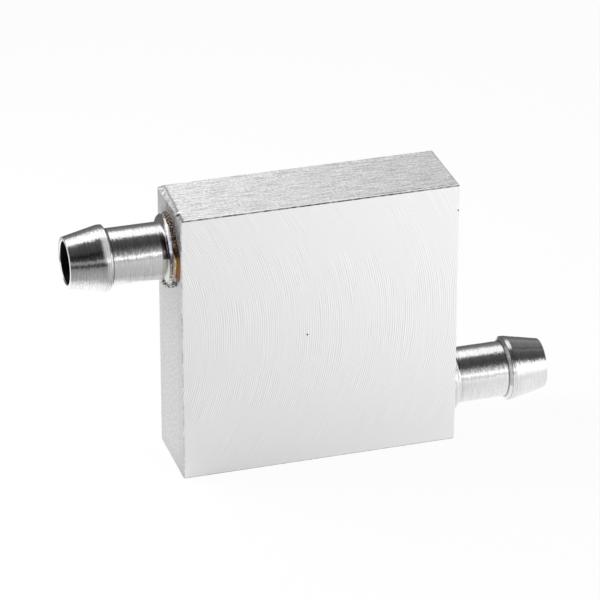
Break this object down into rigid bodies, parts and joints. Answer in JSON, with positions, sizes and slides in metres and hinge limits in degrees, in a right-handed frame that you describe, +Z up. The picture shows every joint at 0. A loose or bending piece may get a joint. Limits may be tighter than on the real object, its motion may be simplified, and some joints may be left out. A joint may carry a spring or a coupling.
{
  "type": "liquid cooling cold plate",
  "caption": "Flat square aluminium water block with finned coolant lanes inside and a barbed hose nozzle on each end, one high and one low.",
  "frame": {"origin": "middle of the block's bottom face", "axes": "+X to the outlet end, -Y the machined front face, +Z up; the inlet is high on the -X end and the outlet low on the +X end"},
  "size_m": [0.0696, 0.012, 0.04],
  "materials": {
    "extruded_block": "fly-cut front and back, brushed narrow sides",
    "end_cap": "satin, ground flush",
    "cap_seam": "ground braze",
    "turned_nozzle": "turned and polished",
    "braze_fillet": "as brazed, lumpy",
    "burnt_flux": "glassy amber film"
  },
  "bodies": {
    "root": {"channel_body": "extruded_block", "inlet_end_cap": "end_cap", "outlet_end_cap": "end_cap", "inlet_cap_seam": "cap_seam", "outlet_cap_seam": "cap_seam", "inlet_nozzle": "turned_nozzle", "outlet_nozzle": "turned_nozzle", "inlet_braze_fillet": "braze_fillet", "outlet_braze_fillet": "braze_fillet", "inlet_flux_residue": "burnt_flux"}
  },
  "joints": []
}
